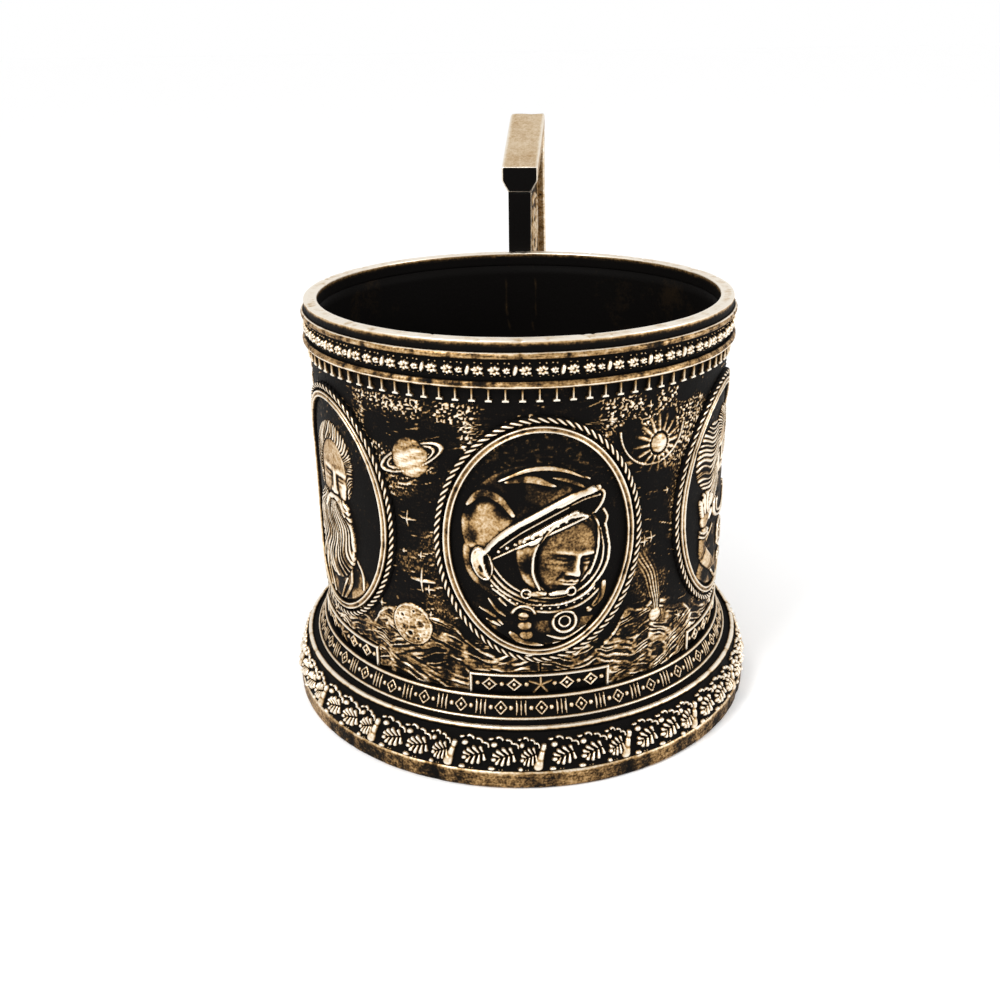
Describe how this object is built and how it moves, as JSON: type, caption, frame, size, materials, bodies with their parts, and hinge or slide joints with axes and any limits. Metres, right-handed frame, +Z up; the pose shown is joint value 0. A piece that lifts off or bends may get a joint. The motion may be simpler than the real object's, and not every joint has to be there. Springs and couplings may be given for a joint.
{
  "type": "tea glass holder",
  "caption": "Cast brass holder for a tea glass: a cup on a flared foot with relief medallions, leaf borders and an ear handle with a thumb rest.",
  "frame": {"origin": "centre of the cup's underside, on the table", "axes": "+Z up along the axis of the cup, +Y out towards the handle, +X to the right when seen from the front with the handle behind"},
  "size_m": [0.0878, 0.1066, 0.0999],
  "materials": {
    "dark_brass": "dark patina",
    "worn_brass": "patina rubbed back on the high places",
    "bright_brass": "satin polish"
  },
  "bodies": {
    "root": {"wall_shell": "dark_brass", "bottom_plate": "dark_brass", "foot_skirt": "dark_brass", "foot_band": "worn_brass", "oak_wreath": "worn_brass", "foot_bead": "bright_brass", "ribbon_band": "worn_brass", "dentil_row": "bright_brass", "lower_moulding": "worn_brass", "leaf_strip": "dark_brass", "upper_moulding": "worn_brass", "rim_collar": "bright_brass", "handle_web": "dark_brass", "handle_strap": "bright_brass", "thumb_rest": "bright_brass", "bezel_1": "bright_brass", "bezel_2": "bright_brass", "bezel_3": "bright_brass", "bezel_4": "bright_brass", "bezel_5": "bright_brass", "rope_1": "bright_brass", "rope_2": "bright_brass", "rope_3": "bright_brass", "rope_4": "bright_brass", "rope_5": "bright_brass", "portrait_1": "worn_brass", "portrait_2": "worn_brass", "portrait_3": "worn_brass", "portrait_4": "worn_brass", "portrait_5": "worn_brass", "name_plate_1": "worn_brass", "name_plate_2": "worn_brass", "name_plate_3": "worn_brass", "name_plate_4": "worn_brass", "name_plate_5": "worn_brass"}
  },
  "joints": []
}
